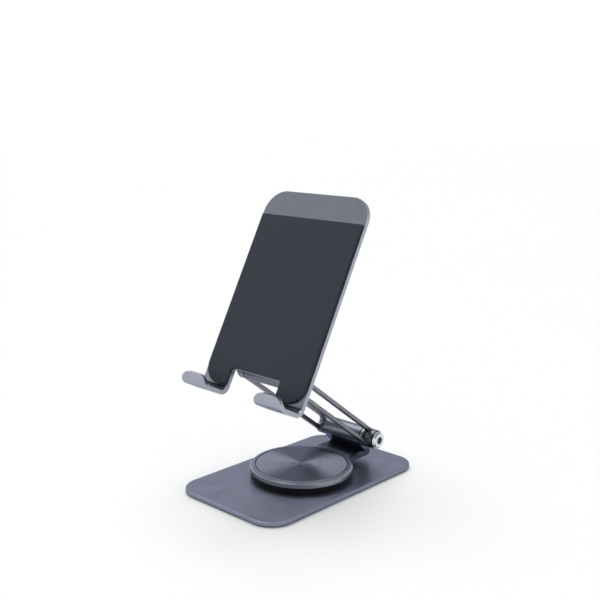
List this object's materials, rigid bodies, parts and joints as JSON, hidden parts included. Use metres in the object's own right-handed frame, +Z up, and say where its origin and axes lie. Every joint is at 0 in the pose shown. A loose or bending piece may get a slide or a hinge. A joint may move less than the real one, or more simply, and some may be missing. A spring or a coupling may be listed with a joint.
{
  "type": "phone stand",
  "caption": "Folding desk stand that holds a phone upright on a tilting plate with bottom hooks, carried by a hinged link arm on a swivelling flat base.",
  "frame": {"origin": "on the turntable's axis at the underside of the base pad", "axes": "+Z up, the side the phone faces is -Y, and the hinge axes run along X"},
  "size_m": [0.06, 0.0984, 0.1289],
  "materials": {
    "anodised_plate": "satin anodised",
    "anodised_holder": "satin anodised",
    "spun_disc": "circular spun, anodised",
    "steel": "polished stainless",
    "black_acetal": "smooth matte",
    "silicone": "matte"
  },
  "bodies": {
    "base": {"base_plate": "anodised_plate", "base_pad": "silicone", "slip_ring": "black_acetal", "pivot_post": "steel", "pivot_thrust_washer": "black_acetal", "pivot_wave_washer": "steel", "pivot_nut": "steel"},
    "turntable": {"turntable_plate": "anodised_plate", "turntable_disc": "spun_disc"},
    "arm": {"left_link": "anodised_plate", "right_link": "anodised_plate", "lower_hinge_bolt": "steel", "upper_hinge_bolt": "steel", "lower_spring_cup": "anodised_plate", "upper_spring_cup": "anodised_plate", "lower_disc_springs": "steel", "upper_disc_springs": "steel", "lower_friction_washers": "black_acetal", "upper_friction_washers": "black_acetal"},
    "holder": {"holder_plate": "anodised_holder", "holder_hinge_block": "anodised_plate", "holder_screws": "steel", "back_pad": "silicone", "left_hook_pad": "silicone", "right_hook_pad": "silicone"}
  },
  "joints": [
    {"name": "base_swivel", "type": "hinge", "parent": "base", "child": "turntable", "pos_m": [0, 0, 0.0047], "axis": [0, 0, 1], "continuous": true},
    {"name": "lower_hinge", "type": "hinge", "parent": "turntable", "child": "arm", "pos_m": [0, 0.0315, 0.0148], "axis": [1, 0, 0], "range_deg": [-45, 22]},
    {"name": "upper_hinge", "type": "hinge", "parent": "arm", "child": "holder", "pos_m": [0, -0.02096, 0.05369], "axis": [1, 0, 0], "range_deg": [-80, 45]}
  ]
}
